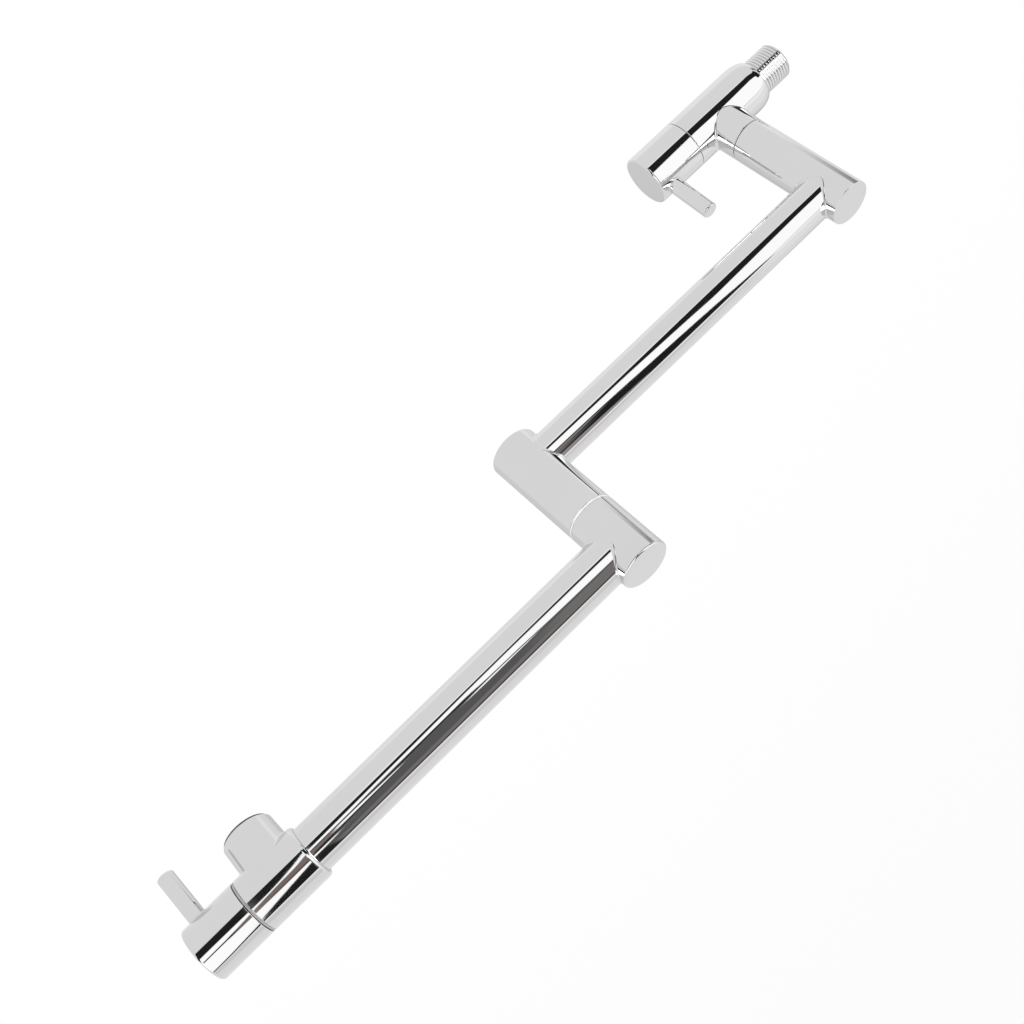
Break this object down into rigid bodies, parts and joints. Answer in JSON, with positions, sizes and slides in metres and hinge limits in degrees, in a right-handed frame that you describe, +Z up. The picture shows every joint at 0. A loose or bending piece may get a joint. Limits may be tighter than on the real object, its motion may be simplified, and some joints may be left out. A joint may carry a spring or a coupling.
{
  "type": "wall mounted pot filler",
  "caption": "Wall mounted pot filler with a male wall thread, a quarter turn valve at each end and a swivelling double jointed arm with an aerated spout.",
  "frame": {"origin": "on the axis of the wall thread, at the plane where the inlet body's rounded shoulder meets the thread", "axes": "+X points out of the wall along the thread, both valves and, at rest, both arms; +Z points up along the swivels"},
  "size_m": [0.527, 0.0288, 0.1752],
  "materials": {
    "chrome": "polished",
    "brass": "machined",
    "steel": "machined",
    "spacer_metal": "satin",
    "aerator_metal": "dark satin",
    "aerator_plastic": "moulded",
    "plastic": "moulded",
    "ceramic": "lapped",
    "rubber": "moulded"
  },
  "bodies": {
    "wall_valve": {"inlet_body": "chrome", "inlet_post": "brass", "inlet_post_rings": "rubber", "swivel_1_bearing": "plastic", "inlet_cartridge": "brass", "inlet_body_ring": "rubber", "inlet_seat_seal": "rubber", "inlet_fixed_disc": "ceramic"},
    "inlet_control": {"inlet_turning_disc": "ceramic", "inlet_spindle": "brass", "inlet_spindle_ring": "rubber", "inlet_spindle_clip": "steel", "inlet_knob": "chrome", "inlet_lever": "chrome", "inlet_grub_screw": "steel"},
    "lower_arm": {"arm_1_sleeve": "chrome", "arm_1_keeper": "steel", "arm_1_tube": "chrome", "arm_1_socket": "chrome", "socket_keeper": "steel", "swivel_2_bearing": "plastic"},
    "upper_arm": {"arm_2_post": "brass", "arm_2_post_rings": "rubber", "arm_2_hub": "chrome", "arm_2_tube": "chrome", "outlet_body": "chrome", "outlet_spacer": "spacer_metal", "aerator_shell": "aerator_metal", "aerator_washer": "rubber", "aerator_grid": "aerator_plastic", "outlet_cartridge": "brass", "outlet_body_ring": "rubber", "outlet_seat_seal": "rubber", "outlet_fixed_disc": "ceramic"},
    "outlet_control": {"outlet_turning_disc": "ceramic", "outlet_spindle": "brass", "outlet_spindle_ring": "rubber", "outlet_spindle_clip": "steel", "outlet_knob": "chrome", "outlet_lever": "chrome", "outlet_grub_screw": "steel"}
  },
  "joints": [
    {"name": "inlet_valve", "type": "hinge", "parent": "wall_valve", "child": "inlet_control", "pos_m": [0.054, 0, 0], "axis": [1, 0, 0], "range_deg": [0, 90]},
    {"name": "wall_swivel", "type": "hinge", "parent": "wall_valve", "child": "lower_arm", "pos_m": [0.0315, 0, 0.0264], "axis": [0, 0, 1], "range_deg": [-90, 90]},
    {"name": "middle_swivel", "type": "hinge", "parent": "lower_arm", "child": "upper_arm", "pos_m": [0.2425, 0, 0.1226], "axis": [0, 0, 1], "continuous": true},
    {"name": "outlet_valve", "type": "hinge", "parent": "upper_arm", "child": "outlet_control", "pos_m": [0.4775, 0, 0.1448], "axis": [1, 0, 0], "range_deg": [0, 90]}
  ]
}
